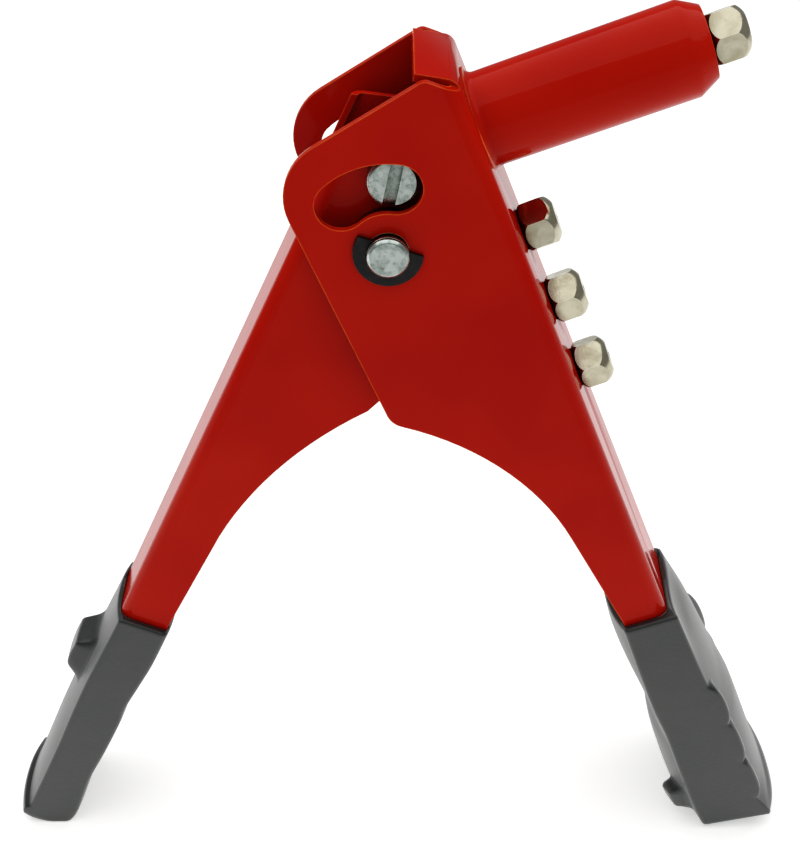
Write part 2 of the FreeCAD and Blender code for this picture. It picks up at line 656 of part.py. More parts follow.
def make_nosepiece(name, hole, seat, tip, where):
    """Hexagon nosepiece with domed ends; seat is where its shoulder meets its support."""
    top = seat + D.nose_height
    stem = seat - D.nose_stem
    profile = [
        (hole, stem - tip), (D.nose_tip_radius, stem - tip), (D.nose_tip_radius + 0.5, stem),
        (D.nose_thread, stem + 0.01), (D.nose_thread, seat), (D.nose_foot, seat),
        (D.nose_wide, seat + D.nose_foot_height), (D.nose_wide, top - D.nose_dome_height),
        (D.nose_crown, top), (hole, top),
    ]
    domes = {5: (D.nose_foot_round, True), 7: (D.nose_dome_round, True)}
    blank = turned(name + "_blank", profile, where, domes)
    prism = hexagon(name + "_hexagon", D.nose_flats, stem - tip - D.past, top + D.past, where)
    keep(boolean("Common", name, blank, prism), name)


def make_nosepieces():
    make_nosepiece("nosepiece_fitted", D.mandrel_fitted, D.barrel_end, D.nose_tip, along_bore(12))
    holes = (D.mandrel_small, D.mandrel_medium, D.mandrel_large)
    spins = (0, 12, 12)
    for place, (hole, spin) in enumerate(zip(holes, spins)):
        down = D.spare_first.value + D.spare_pitch.value * place
        make_nosepiece(f"nosepiece_spare_{place + 1}", hole, D.web_front, as_size(0.6), on_web(down, spin))


# ------------------------------------------------------------------ jaw train

def make_pull_tail():
    """Pull rod whose eye carries the pull screw in a short upright slot."""
    where = along_bore()
    profile = [(D.rod_bore, D.rod_bore_end + 1.2), (0, D.rod_bore_end), (0, D.eye_front - 1),
               (D.rod_radius, D.eye_front - 1), (D.rod_radius, D.rod_end), (D.rod_bore, D.rod_end)]
    rod = turned("pull_rod", profile, where)
    body = new_body("pull_eye", BORE)
    outline = [(D.eye_back, D.eye_under), (D.eye_front, D.eye_under), (D.eye_front, D.eye_over),
               (D.eye_back, D.eye_over)]
    pad(body, "eye", outline, D.eye_width)
    round_edges(body, "eye_corners", as_size(2.5), outline)
    pocket(body, "eye_slot", draw_eye_slot)
    keep(boolean("Fuse", "pull_tail", body, rod), "pull_tail")


def draw_eye_slot(sketch):
    """Slot in which the screw rises and falls while the rod runs straight."""
    half = D.screw_radius + D.slot_play
    low, high = D.bore_rise - D.slot_sink - D.slot_spare, D.bore_rise + D.slot_rise + D.slot_spare
    left, right = D.pull_out - half, D.pull_out + half
    points = [(right, low), (right, high), (left, high), (left, low)]
    end = half + 0.02
    draw_outline(sketch, points, {1: (end, True), 3: (end, True)})


def make_jaw_case():
    """Case with the cone that closes the jaws, and the nut that locks it on the rod."""
    where = along_bore()
    profile = [
        (D.rod_radius, D.case_back), (D.case_radius - 0.5, D.case_back), (D.case_radius, D.case_back + 0.5),
        (D.case_radius, D.case_front - 1.4), (D.case_radius - 1.4, D.case_front),
        (D.cone_exit, D.case_front), (D.cone_exit, D.cone_front), (D.chamber_radius, D.cone_back),
        (D.chamber_radius, D.chamber_back), (D.rod_radius, D.chamber_back),
    ]
    keep(turned("jaw_case", profile, where), "jaw_case")
    top = D.lock_nut_back + D.lock_nut_height
    keep(make_nut("lock_nut", D.lock_nut_flats, D.rod_radius, D.lock_nut_back, top, where), "lock_nut")


def make_jaws():
    """Three jaws in the cone, the pusher behind them and its spring."""
    slope = (D.chamber_radius - D.cone_exit) / (D.cone_front - D.cone_back)
    wide = D.chamber_radius - D.jaw_play - slope * (D.jaw_back - D.cone_back)
    thin = D.chamber_radius - D.jaw_play - slope * (D.jaw_front - D.cone_back)
    profile = [(D.jaw_hole, D.jaw_back), (wide, D.jaw_back), (thin, D.jaw_front), (D.jaw_hole, D.jaw_front)]
    for number in range(3):
        name = f"jaw_{number + 1}"
        keep(turned(name, profile, along_bore(120 * number), angle=D.jaw_sector), name)
    pusher = tube("jaw_pusher", D.pusher_radius, D.pusher_hole, D.pusher_back, D.pusher_front, along_bore())
    keep(pusher, "jaw_pusher")


def make_spring(name, wire, coil, turns, low, high):
    """Open coil of round wire between two seats."""
    where = along_bore()
    helix = doc.addObject("Part::Helix", name + "_line")
    length = as_size(high) - low - wire * 2
    bind(helix, Radius=coil, Height=length, Pitch=length / turns)
    helix.Placement = Placement(Vector(0, 0, (as_size(low) + wire).value), Rotation())
    section = doc.addObject("Part::Circle", name + "_section")
    bind(section, Radius=wire)
    start = Vector(coil.value, 0, (as_size(low) + wire).value)
    section.Placement = Placement(start, Rotation(Vector(1, 0, 0), 90))
    sweep = doc.addObject("Part::Sweep", name)
    sweep.Sections = [section]
    sweep.Spine = (helix, [])
    sweep.Solid = True
    sweep.Frenet = True
    sweep.Placement = where
    doc.recompute()
    keep(sweep, name)


def make_springs():
    make_spring("return_spring", D.return_wire, D.return_coil, D.return_turns, D.guide_front, D.lock_nut_back)
    make_spring("pusher_spring", D.pusher_wire, D.pusher_coil, D.pusher_turns, D.chamber_back, D.pusher_back)


# --------------------------------------------------------------------- output

def check_and_export():
    """Stop on any failed object or bad shape, then write one file for each node."""
    doc.recompute()
    for obj in doc.Objects:
        if "Invalid" in obj.State or "Error" in obj.State:
            raise RuntimeError(f"{obj.Name} failed: {obj.State}")
    os.makedirs("parts", exist_ok=True)
    for node in NODES:
        shape = node.Shape
        if shape.isNull() or not shape.isValid() or len(shape.Solids) != 1:
            raise RuntimeError(f"{node.Label} has a bad shape")
    for node in NODES:
        node.Shape.exportStep(f"parts/{node.Label}.step")
        box = node.Shape.BoundBox
        print(f"{node.Label:20s} {node.Shape.Volume:9.1f} mm3  x {box.XMin:7.2f} {box.XMax:7.2f}"
              f"  y {box.YMin:6.2f} {box.YMax:6.2f}  z {box.ZMin:7.2f} {box.ZMax:7.2f}")


make_body_shell()
make_fixed_grip()
make_moving_handle()
make_moving_grip()
make_pivot()
make_pull_screw()
make_barrel()
make_nosepieces()
make_pull_tail()
make_jaw_case()
make_jaws()
make_springs()
check_and_export()
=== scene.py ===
"""Looks of the hand riveter: paint, plating, moulded rubber grips, studio light and camera.

Everything is in metres in the row frame.  Local frames are given in millimetres about the pivot,
as in the part: FIXED leans with the fixed lever, MOVING with the moving lever, and BORE is FIXED
turned down about the barrel's foot.
"""
import json
import math

import bmesh
import bpy
from mathutils import Matrix, Vector


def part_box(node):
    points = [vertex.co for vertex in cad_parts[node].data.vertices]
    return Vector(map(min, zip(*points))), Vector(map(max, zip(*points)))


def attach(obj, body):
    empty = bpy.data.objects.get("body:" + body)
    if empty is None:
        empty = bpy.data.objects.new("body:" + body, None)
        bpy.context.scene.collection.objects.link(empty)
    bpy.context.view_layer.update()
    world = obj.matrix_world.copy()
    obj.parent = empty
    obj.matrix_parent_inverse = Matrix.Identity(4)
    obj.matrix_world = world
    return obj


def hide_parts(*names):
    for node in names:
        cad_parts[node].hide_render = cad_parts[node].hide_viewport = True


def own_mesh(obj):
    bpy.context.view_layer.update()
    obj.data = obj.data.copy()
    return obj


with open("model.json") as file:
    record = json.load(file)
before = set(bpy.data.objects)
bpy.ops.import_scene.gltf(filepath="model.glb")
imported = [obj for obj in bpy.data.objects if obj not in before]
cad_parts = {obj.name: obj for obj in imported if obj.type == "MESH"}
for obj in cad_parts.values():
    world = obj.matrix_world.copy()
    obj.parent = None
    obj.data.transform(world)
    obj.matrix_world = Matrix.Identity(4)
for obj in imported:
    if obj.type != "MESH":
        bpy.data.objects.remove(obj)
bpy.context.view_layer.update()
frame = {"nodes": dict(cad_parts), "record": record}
nodes = frame["nodes"]

MM = 0.001
PIVOT = (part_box("pivot_pin")[0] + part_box("pivot_pin")[1]) / 2
FIXED_TILT = math.radians(21.0)
MOVING_TILT = math.radians(26.4)


def lean(angle):
    """Matrix from millimetres in a slanted frame about the pivot to metres in the row frame."""
    return Matrix.Translation(PIVOT) @ Matrix.Rotation(angle, 4, "Y") @ Matrix.Scale(MM, 4)


FIXED = lean(-FIXED_TILT)
MOVING = lean(MOVING_TILT)
BORE_RISE = 12.6
BORE_FOOT = Vector((25.3, 0, BORE_RISE))
BORE_DROOP = math.radians(2.0)
BORE = (FIXED @ Matrix.Translation(BORE_FOOT) @ Matrix.Rotation(BORE_DROOP, 4, "Y")
        @ Matrix.Translation(-BORE_FOOT))


# ------------------------------------------------------------------ materials

class Finish:
    """One procedural material; textures are measured in metres on the object."""

    def __init__(self, name, **sockets):
        self.material = bpy.data.materials.new(name)
        self.material.use_nodes = True
        self.tree = self.material.node_tree
        self.shader = self.tree.nodes["Principled BSDF"]
        for socket, value in sockets.items():
            self.shader.inputs[socket.replace("_", " ")].default_value = value
        self.place = self.add("ShaderNodeTexCoord").outputs["Object"]

    def add(self, kind, **settings):
        node = self.tree.nodes.new(kind)
        for name, value in settings.items():
            setattr(node, name, value)
        return node

    def put(self, source, socket):
        """Feed a number, a colour or another node's output to a socket."""
        if isinstance(source, bpy.types.NodeSocket):
            self.tree.links.new(source, socket)
        else:
            socket.default_value = source

    def stretched(self, scale):
        """Object coordinates scaled by a different amount along each axis."""
        node = self.add("ShaderNodeMapping")
        self.put(self.place, node.inputs["Vector"])
        node.inputs["Scale"].default_value = scale
        return node.outputs["Vector"]

    def noise(self, size, detail=3.0, roughness=0.5, distortion=0.0, where=None):
        """Noise between 0 and 1 whose lumps are about size metres across."""
        node = self.add("ShaderNodeTexNoise")
        self.put(where or self.place, node.inputs["Vector"])
        node.inputs["Scale"].default_value = 1.0 / size
        node.inputs["Detail"].default_value = detail
        node.inputs["Roughness"].default_value = roughness
        node.inputs["Distortion"].default_value = distortion
        return node.outputs["Fac"]

    def pebbles(self, size):
        """Rounded grains about size metres across."""
        node = self.add("ShaderNodeTexVoronoi", feature="SMOOTH_F1")
        self.put(self.place, node.inputs["Vector"])
        node.inputs["Scale"].default_value = 1.0 / size
        return node.outputs["Distance"]

    def ramp(self, factor, low, high, start=0.0, end=1.0):
        """Map factor from start..end to low..high."""
        node = self.add("ShaderNodeMapRange", interpolation_type="SMOOTHSTEP")
        self.put(factor, node.inputs["Value"])
        node.inputs["From Min"].default_value = start
        node.inputs["From Max"].default_value = end
        node.inputs["To Min"].default_value = low
        node.inputs["To Max"].default_value = high
        return node.outputs["Result"]

    def math(self, operation, a, b):
        node = self.add("ShaderNodeMath", operation=operation)
        self.put(a, node.inputs[0])
        self.put(b, node.inputs[1])
        return node.outputs["Value"]

    def mix(self, factor, a, b):
        """Colour a where factor is 0 and b where it is 1."""
        node = self.add("ShaderNodeMix", data_type="RGBA")
        self.put(factor, node.inputs["Factor"])
        self.put(a, [s for s in node.inputs if s.name == "A" and s.type == "RGBA"][0])
        self.put(b, [s for s in node.inputs if s.name == "B" and s.type == "RGBA"][0])
        return [s for s in node.outputs if s.type == "RGBA"][0]

    def edges(self, radius, low=0.02, high=0.22):
        """1 on convex and concave edges within about radius metres, 0 on flat ground."""
        rounded = self.add("ShaderNodeBevel", samples=6)
        rounded.inputs["Radius"].default_value = radius
        flat = self.add("ShaderNodeNewGeometry")
        dot = self.add("ShaderNodeVectorMath", operation="DOT_PRODUCT")
        self.put(rounded.outputs["Normal"], dot.inputs[0])
        self.put(flat.outputs["Normal"], dot.inputs[1])
        return self.ramp(self.math("SUBTRACT", 1.0, dot.outputs["Value"]), 0.0, 1.0, low, high)

    def open_to_light(self, distance, low=0.35, high=0.9):
        """Mask for painted shade: 0 in pockets and slots about distance metres across, 1 where the
        surface faces open room.
        """
        node = self.add("ShaderNodeAmbientOcclusion", samples=6)
        node.inputs["Distance"].default_value = distance
        return self.ramp(node.outputs["AO"], 0.0, 1.0, low, high)

    def bump(self, height, strength, distance, after=None):
        node = self.add("ShaderNodeBump")
        self.put(height, node.inputs["Height"])
        node.inputs["Strength"].default_value = strength
        node.inputs["Distance"].default_value = distance
        if after is not None:
            self.put(after, node.inputs["Normal"])
        return node.outputs["Normal"]

    def finish(self, **sockets):
        for socket, source in sockets.items():
            self.put(source, self.shader.inputs[socket.replace("_", " ")])
        return self.material


def red_enamel():
    """Glossy powder enamel: faint orange peel; sheared edges lighter, partly thin paint and partly
    painted highlight; pockets darker with painted shade.
    """
    paint = Finish("red_enamel", Coat_Weight=0.6, Coat_Roughness=0.09, Coat_IOR=1.27,
                   Specular_IOR_Level=0.0)
    deep, bright = (0.43, 0.009, 0.003, 1), (0.5, 0.016, 0.004, 1)
    thin_paint_and_highlight, shade = (0.9, 0.16, 0.03, 1), (0.3, 0.012, 0.006, 1)
    cloud = paint.noise(0.035, detail=2.0)
    colour = paint.mix(paint.ramp(cloud, 0.0, 1.0, 0.3, 0.7), deep, bright)
    # painted highlight: sharp edges turn bright orange in patches, partly thin paint
    worn_and_highlight = paint.math("MULTIPLY", paint.edges(0.0006),
                      paint.ramp(paint.noise(0.004), 0.5, 1.0, 0.25, 0.6))
    colour = paint.mix(worn_and_highlight, colour, thin_paint_and_highlight)
    # painted shade: pockets and the channel's inner faces darkened by ambient occlusion
    colour = paint.mix(paint.open_to_light(0.03, 0.2, 0.75), shade, colour)
    peel = paint.noise(0.0016, detail=2.0, roughness=0.4)
    broad = paint.noise(0.012, detail=1.0)
    skin = paint.bump(peel, 0.05, 0.0002, paint.bump(broad, 0.06, 0.001))
    rough = paint.ramp(paint.noise(0.006), 0.32, 0.42)
    return paint.finish(Base_Color=colour, Roughness=rough, Normal=skin, Coat_Normal=skin)


def plating(name, light, shade, stain_and_shade, grain, patch, stained, roughness):
    """Bright electroplate over a turned or cold-formed surface, with dull cloudy patches and stain
    spots; painted shade in pockets, and edges lightened partly as rubbed plating, partly as painted
    highlight.
    """
    metal = Finish(name, Metallic=1.0)
    smooth, dull = roughness
    cloud = metal.noise(patch, detail=4.0, roughness=0.6, distortion=0.4)
    colour = metal.mix(metal.ramp(cloud, 0.0, 1.0, 0.35, 0.68), light, shade)
    spots = metal.ramp(metal.noise(0.0011, detail=3.0), 0.0, stained, 0.6, 0.74)
    colour = metal.mix(spots, colour, stain_and_shade)
    # painted shade: pockets darkened to the stain colour by ambient occlusion
    colour = metal.mix(metal.open_to_light(0.003), stain_and_shade, colour)
    # painted highlight along every edge, partly rubbed plating
    lighter_edges = metal.math("MULTIPLY", metal.edges(0.00025), 0.7)
    colour = metal.mix(lighter_edges, colour, (0.85, 0.84, 0.8, 1))
    rough = metal.math("ADD", metal.ramp(cloud, smooth, dull, 0.3, 0.72),
                       metal.ramp(metal.noise(0.0005, detail=2.0), 0.0, 0.06))
    lines = metal.noise(0.0004, detail=3.0, where=metal.stretched((1.0, 0.12, 1.0)))
    skin = metal.bump(lines, grain, 0.0001, metal.bump(cloud, 0.25, 0.0002))
    return metal.finish(Base_Color=colour, Roughness=rough, Normal=skin)


def black_oxide():
    """Blackened spring steel with an oily sheen and rubbed edges."""
    metal = Finish("black_oxide", Metallic=0.75)
    cloud = metal.noise(0.002, detail=4.0)
    colour = metal.mix(cloud, (0.012, 0.012, 0.014, 1), (0.045, 0.042, 0.04, 1))
    lighter_edges = metal.math("MULTIPLY", metal.edges(0.0002), metal.ramp(metal.noise(0.0012), 0.1, 0.8))
    colour = metal.mix(lighter_edges, colour, (0.2, 0.19, 0.18, 1))
    skin = metal.bump(metal.noise(0.0005), 0.3, 0.0001)
    return metal.finish(Base_Color=colour, Roughness=metal.ramp(cloud, 0.28, 0.5), Normal=skin)


def bare_steel(name, light, dark):
    """Machined steel with fine tool marks and a film of grey grease."""
    metal = Finish(name, Metallic=1.0)
    marks = metal.noise(0.00035, detail=3.0, where=metal.stretched((1.0, 0.08, 1.0)))
    film = metal.noise(0.004, detail=4.0, roughness=0.6)
    colour = metal.mix(metal.ramp(film, 0.0, 1.0, 0.35, 0.7), light, dark)
    rough = metal.ramp(film, 0.24, 0.46)
    return metal.finish(Base_Color=colour, Roughness=rough, Normal=metal.bump(marks, 0.25, 0.0001))


def black_rubber():
    """Satin moulded rubber: fine pebble grain, dusty bloom, smoother on handled edges, which also carry
    a painted highlight in lighter grey.
    """
    rubber = Finish("black_rubber", IOR=1.6, Sheen_Weight=0.4, Sheen_Roughness=0.35)
    cloud = rubber.noise(0.014, detail=5.0, roughness=0.6)
    colour = rubber.mix(rubber.ramp(cloud, 0.0, 1.0, 0.3, 0.7),
                        (0.013, 0.017, 0.015, 1), (0.022, 0.025, 0.023, 1))
    handled_and_highlight = rubber.edges(0.0012, 0.01, 0.3)
    # painted highlight: edges lightened towards grey, partly wear from handling
    colour = rubber.mix(rubber.math("MULTIPLY", handled_and_highlight, 0.35), colour, (0.09, 0.092, 0.088, 1))
    grain = rubber.pebbles(0.00045)
    pores = rubber.noise(0.0012, detail=4.0)
    skin = rubber.bump(grain, 0.22, 0.00012, rubber.bump(pores, 0.2, 0.0002))
    rough = rubber.math("SUBTRACT", rubber.ramp(cloud, 0.38, 0.48),
                        rubber.math("MULTIPLY", handled_and_highlight, 0.12))
    return rubber.finish(Base_Color=colour, Roughness=rough, Normal=skin)


def paper():
    """Matt white paper with a barely visible tooth, lit a little from within, greyer in front."""
    sheet = Finish("paper", IOR=1.2, Roughness=0.9)
    tooth = sheet.noise(0.003, detail=4.0)
    colour = sheet.mix(tooth, (0.92, 0.92, 0.915, 1), (0.95, 0.95, 0.945, 1))
    depth = sheet.add("ShaderNodeSeparateXYZ")
    sheet.put(sheet.place, depth.inputs["Vector"])
    colour = sheet.mix(sheet.ramp(depth.outputs["Y"], 1.0, 0.0, -0.4, -0.04), colour, (0.6, 0.6, 0.6, 1))
    sheet.shader.inputs["Emission Strength"].default_value = 0.5
    return sheet.finish(Base_Color=colour, Emission_Color=colour, Normal=sheet.bump(tooth, 0.05, 0.0002))


FINISHES = {
    "red_enamel": red_enamel(),
    "zinc_plate": plating("zinc_plate", light=(0.5, 0.55, 0.52, 1), shade=(0.27, 0.32, 0.29, 1),
                          stain_and_shade=(0.09, 0.11, 0.09, 1), grain=0.2, patch=0.0016, stained=0.55,
                          roughness=(0.14, 0.3)),
    "nickel_plate": plating("nickel_plate", light=(0.5, 0.47, 0.36, 1), shade=(0.36, 0.33, 0.23, 1),
                            stain_and_shade=(0.14, 0.13, 0.07, 1), grain=0.06, patch=0.005, stained=0.15,
                            roughness=(0.1, 0.2)),
    "black_oxide": black_oxide(),
    "bare_steel": bare_steel("bare_steel", (0.52, 0.51, 0.49, 1), (0.27, 0.26, 0.25, 1)),
    "spring_steel": bare_steel("spring_steel", (0.3, 0.3, 0.31, 1), (0.13, 0.13, 0.14, 1)),
    "black_rubber": black_rubber(),
}


def coat(piece, slot):
    """Give the piece the finish of a record slot, and nothing else."""
    piece.data.materials.clear()
    piece.data.materials.append(FINISHES[slot])
    return piece


# ------------------------------------------------------- pieces kept from CAD

SHARP_ANGLE, FLAT_ANGLE = math.radians(32), math.radians(0.6)
EDGE_WIDTHS = {
    "body_shell": 0.22, "moving_handle": 0.22, "barrel": 0.2, "barrel_nut": 0.15,
    "pull_screw": 0.14, "pull_nut": 0.12, "pivot_pin": 0.1,
    "pivot_clip_near": 0.15, "pivot_clip_far": 0.15, "nosepiece_fitted": 0.12,
    "nosepiece_spare_1": 0.12, "nosepiece_spare_2": 0.12, "nosepiece_spare_3": 0.12,
}


def soften(piece, width):
    """Round the crisp edges by width millimetres without moving any surface."""
    weld = piece.modifiers.new("weld", "WELD")
    weld.merge_threshold = 1e-6
    flat = piece.modifiers.new("flat", "DECIMATE")
    flat.decimate_type = "DISSOLVE"
    flat.angle_limit = FLAT_ANGLE
    bevel = piece.modifiers.new("soft_edges", "BEVEL")
    bevel.width = width * MM
    bevel.segments = 3
    bevel.limit_method = "ANGLE"
    bevel.angle_limit = SHARP_ANGLE
    bevel.use_clamp_overlap = True
    bevel.harden_normals = True


for item in frame["record"]["subparts"]:
    coat(nodes[item["node"]], item["material_slot"])
for node_name, edge_width in EDGE_WIDTHS.items():
    soften(nodes[node_name], edge_width)


# ------------------------------------------------------------ drawn surfaces

def wall(made, ring, following):
    """Faces between two closed rings of vertices."""
    count = len(ring)
    for index in range(count):
        after = (index + 1) % count
        made.faces.new((ring[index], ring[after], following[after], following[index]))


def finished(name, made):
    """Linked object of the faces made so far; a cap of more than four corners stays flat."""
    bmesh.ops.recalc_face_normals(made, faces=made.faces)
    mesh = bpy.data.meshes.new(name)
    made.to_mesh(mesh)
    made.free()
    for face in mesh.polygons:
        face.use_smooth = len(face.vertices) <= 4
    piece = bpy.data.objects.new(name, mesh)
    bpy.context.scene.collection.objects.link(piece)
    return piece


# ------------------------------------------------------------- rubber grips

def follow(stops, s):
    """Smooth curve through (distance, value) stops, level beyond its ends."""
    if s <= stops[0][0]:
        return stops[0][1]
    if s >= stops[-1][0]:
        return stops[-1][1]
    last = len(stops) - 1
    place = max(i for i in range(last) if stops[i][0] <= s)
    (s0, v0), (s1, v1) = stops[place], stops[place + 1]
    rise = (v1 - v0) / (s1 - s0)
    before, after = rise, rise
    if place > 0:
        before = (v1 - stops[place - 1][1]) / (s1 - stops[place - 1][0])
    if place + 1 < last:
        after = (stops[place + 2][1] - v0) / (stops[place + 2][0] - s0)
    t = (s - s0) / (s1 - s0)
    span = s1 - s0
    return (v0 * (2 * t ** 3 - 3 * t ** 2 + 1) + v1 * (3 * t ** 2 - 2 * t ** 3)
            + before * span * (t ** 3 - 2 * t ** 2 + t) + after * span * (t ** 3 - t ** 2))


def ease(share):
    """Smooth step: 0 up to a share of 0, 1 from a share of 1."""
    share = min(max(share, 0), 1)
    return share * share * (3 - 2 * share)


def swell(value, low, rise, fall, high):
    """0 outside low..high, 1 between rise and fall, smooth between."""
    return ease((value - low) / (rise - low)) * ease((high - value) / (high - fall))


WEB_STEPS, SIDE_STEPS, PALM_STEPS, CORNER_STEPS = 56, 8, 56, 4
CHEEK = 3.0
WEB_FULLNESS, PALM_FULLNESS, LOBE_FULLNESS = 2.2, 2.4, 2.6


def side_of(web, palm, half, web_round, palm_round):
    """Points down one side, from the web corner to the palm corner."""
    points = []
    for step in range(1, CORNER_STEPS):
        turn = math.pi / 2 * step / CORNER_STEPS
        points.append((web + web_round * (1 - math.cos(turn)),
                       half - web_round * (1 - math.sin(turn))))
    for step in range(SIDE_STEPS + 1):
        share = step / SIDE_STEPS
        points.append((web + web_round + (palm - palm_round - web - web_round) * share, half))
    for step in range(1, CORNER_STEPS):
        turn = math.pi / 2 * step / CORNER_STEPS
        points.append((palm - palm_round * (1 - math.sin(turn)),
                       half - palm_round * (1 - math.cos(turn))))
    return points


def section(web, crown, palm, palm_crown, half, web_round, palm_round,
            web_extra=None, palm_extra=None, scallop=0.0, far_rise=0.0):
    """Closed ring of (depth, across) points: web face, far side, palm face, near side.

    The scallop lifts only the borders of the web face; far_rise sinks its far border.
    """
    near_edge, far_edge = web_round - half, half - web_round
    ring = []
    for step in range(WEB_STEPS + 1):
        share = step / WEB_STEPS
        across = near_edge + (far_edge - near_edge) * share
        t = -1 + 2 * share
        border = web + far_rise * share
        cheek = ease((abs(across) - far_edge) / CHEEK + 1)
        depth = border + (crown - border) * (1 - abs(t) ** WEB_FULLNESS) - scallop * cheek
        ring.append((depth - (web_extra(across) if web_extra else 0), across))
    ring += side_of(web + far_rise - scallop, palm, half, web_round, palm_round)
    flat = half - palm_round
    for step in range(PALM_STEPS + 1):
        t = 1 - 2 * step / PALM_STEPS
        depth = palm + palm_crown * (1 - abs(t) ** PALM_FULLNESS)
        ring.append((depth + (palm_extra(t * flat) if palm_extra else 0), t * flat))
    near = side_of(web - scallop, palm, half, web_round, palm_round)
    ring += [(depth, -across) for depth, across in reversed(near)]
    return ring


def inset(ring, amount):
    """Ring moved inwards by amount, along its own normals."""
    moved = []
    count = len(ring)
    for index, (depth, across) in enumerate(ring):
        d0, a0 = ring[index - 1]
        d1, a1 = ring[(index + 1) % count]
        along = math.hypot(d1 - d0, a1 - a0) or 1.0
        moved.append((depth + (a1 - a0) / along * amount, across - (d1 - d0) / along * amount))
    return moved


def between(ring_a, ring_b, share):
    """Ring that lies a share of the way from one ring to another."""
    return [(a[0] + (b[0] - a[0]) * share, a[1] + (b[1] - a[1]) * share)
            for a, b in zip(ring_a, ring_b)]


# Steps over the rim: (share of the way out, drop) inside, then (inset, drop) round the outer lip.
POCKET_DEPTH, INNER_LIP, LIP_ROUND = 9.0, 0.7, 0.75
RIM_TOP = ((0.0, 0.2), (0.12, 0.0), (0.5, -0.05))
OUTER_LIP = ((0.7, 0.0), (0.35, 0.1), (0.12, 0.32), (0.0, LIP_ROUND))
RING_STEP, END_RINGS, CAP_SHRINKS = 0.7, 6, (0.75, 0.5, 0.25)


class Grip:
    """Moulded sleeve: depth runs from the steel web towards the palm, s runs down the lever.

    The rim dips by far_drop at its far web corner, and end_round rounds the lower end.
    """

    def __init__(self, name, body, node, place, web_depth, toward, outer, steel, end,
                 rim, end_round, far_drop):
        self.place, self.web_depth, self.toward = place, web_depth, toward
        self.outer, self.end = outer, end
        self.rings = []
        mouth = outer(rim)
        half = max(across for _, across in mouth)
        deepest = max(depth for depth, _ in mouth)
        self.dips = [far_drop * (half + across) / (2 * half) * min(1.0, (deepest - depth) / deepest)
                     for depth, across in mouth]
        mouth = self.outside(rim)
        for drop in (POCKET_DEPTH, INNER_LIP):
            self.add_ring(steel, self.dipped(rim + drop))
        for share, drop in RIM_TOP:
            self.add_ring(between(steel, mouth, share), self.dipped(rim + drop))
        for back, drop in OUTER_LIP:
            self.add_ring(inset(self.outside(rim + drop), back), self.dipped(rim + drop))
        top = rim + LIP_ROUND
        count = int((max(self.ends_of(outer(rim))) - end_round - top) / RING_STEP)
        for index in range(1, count + 1):
            self.add_level(top, index / count, end_round, 0.0, 0.0)
        for index in range(1, END_RINGS + 1):
            turn = math.pi / 2 * index / END_RINGS
            self.add_level(top, 1.0, end_round,
                           end_round * (1 - math.cos(turn)), end_round * math.sin(turn))
        self.piece = self.build(name)
        coat(self.piece, "black_rubber")
        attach(self.piece, body)
        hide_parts(node)

    def ends_of(self, ring):
        return [self.end(depth, across) for depth, across in ring]

    def add_ring(self, ring, levels):
        self.rings.append([(depth, across, s) for (depth, across), s in zip(ring, levels)])

    def dipped(self, s):
        """Level s of each point, lower towards the far web corner of the rim."""
        return [s + dip for dip in self.dips]

    def outside(self, s):
        return self.at_levels(self.dipped(s))

    def at_levels(self, levels):
        return [self.outer(s)[index] for index, s in enumerate(levels)]

    def add_level(self, top, share, end_round, back, drop):
        """One ring on the outside; its points share the way from the rim to the slanted end."""
        guess = self.ends_of(self.outside(top))
        for _ in range(2):
            levels = [start + (low - end_round - start) * share
                      for start, low in zip(self.dipped(top), guess)]
            ring = self.at_levels(levels)
            guess = self.ends_of(ring)
        self.add_ring(inset(ring, back), [level + drop for level in levels])

    def point(self, depth, across, s):
        spot = self.place @ Vector((self.web_depth + self.toward * depth, across, -s))
        spot.z = max(spot.z, 0.0)
        return spot

    def build(self, name):
        made = bmesh.new()
        loops = [[made.verts.new(self.point(*point)) for point in ring] for ring in self.rings]
        for upper, lower in zip(loops, loops[1:]):
            wall(made, upper, lower)
        for ring, loop in ((self.rings[0], loops[0]), (self.rings[-1], loops[-1])):
            self.close(made, ring, loop)
        return finished(name, made)

    def close(self, made, ring, loop):
        """Cap an open end with smaller copies of its ring and a fan to the middle."""
        count = len(ring)
        middle = [sum(part) / count for part in zip(*ring)]
        for shrink in CAP_SHRINKS:
            spots = [[m + (p - m) * shrink for p, m in zip(point, middle)] for point in ring]
            following = [made.verts.new(self.point(*spot)) for spot in spots]
            wall(made, loop, following)
            loop = following
        centre = made.verts.new(self.point(*middle))
        for index in range(count):
            made.faces.new((loop[index], loop[(index + 1) % count], centre))


def lobes(s, cusps, deep, peak):
    """Row of scallops between the cusps: deep at each cusp and peak in the middle of each."""
    for low, high in zip(cusps, cusps[1:]):
        if low <= s <= high:
            t = (2 * s - low - high) / (high - low)
            return deep + (peak - deep) * math.sqrt(max(1 - abs(t) ** LOBE_FULLNESS, 0))
    return deep


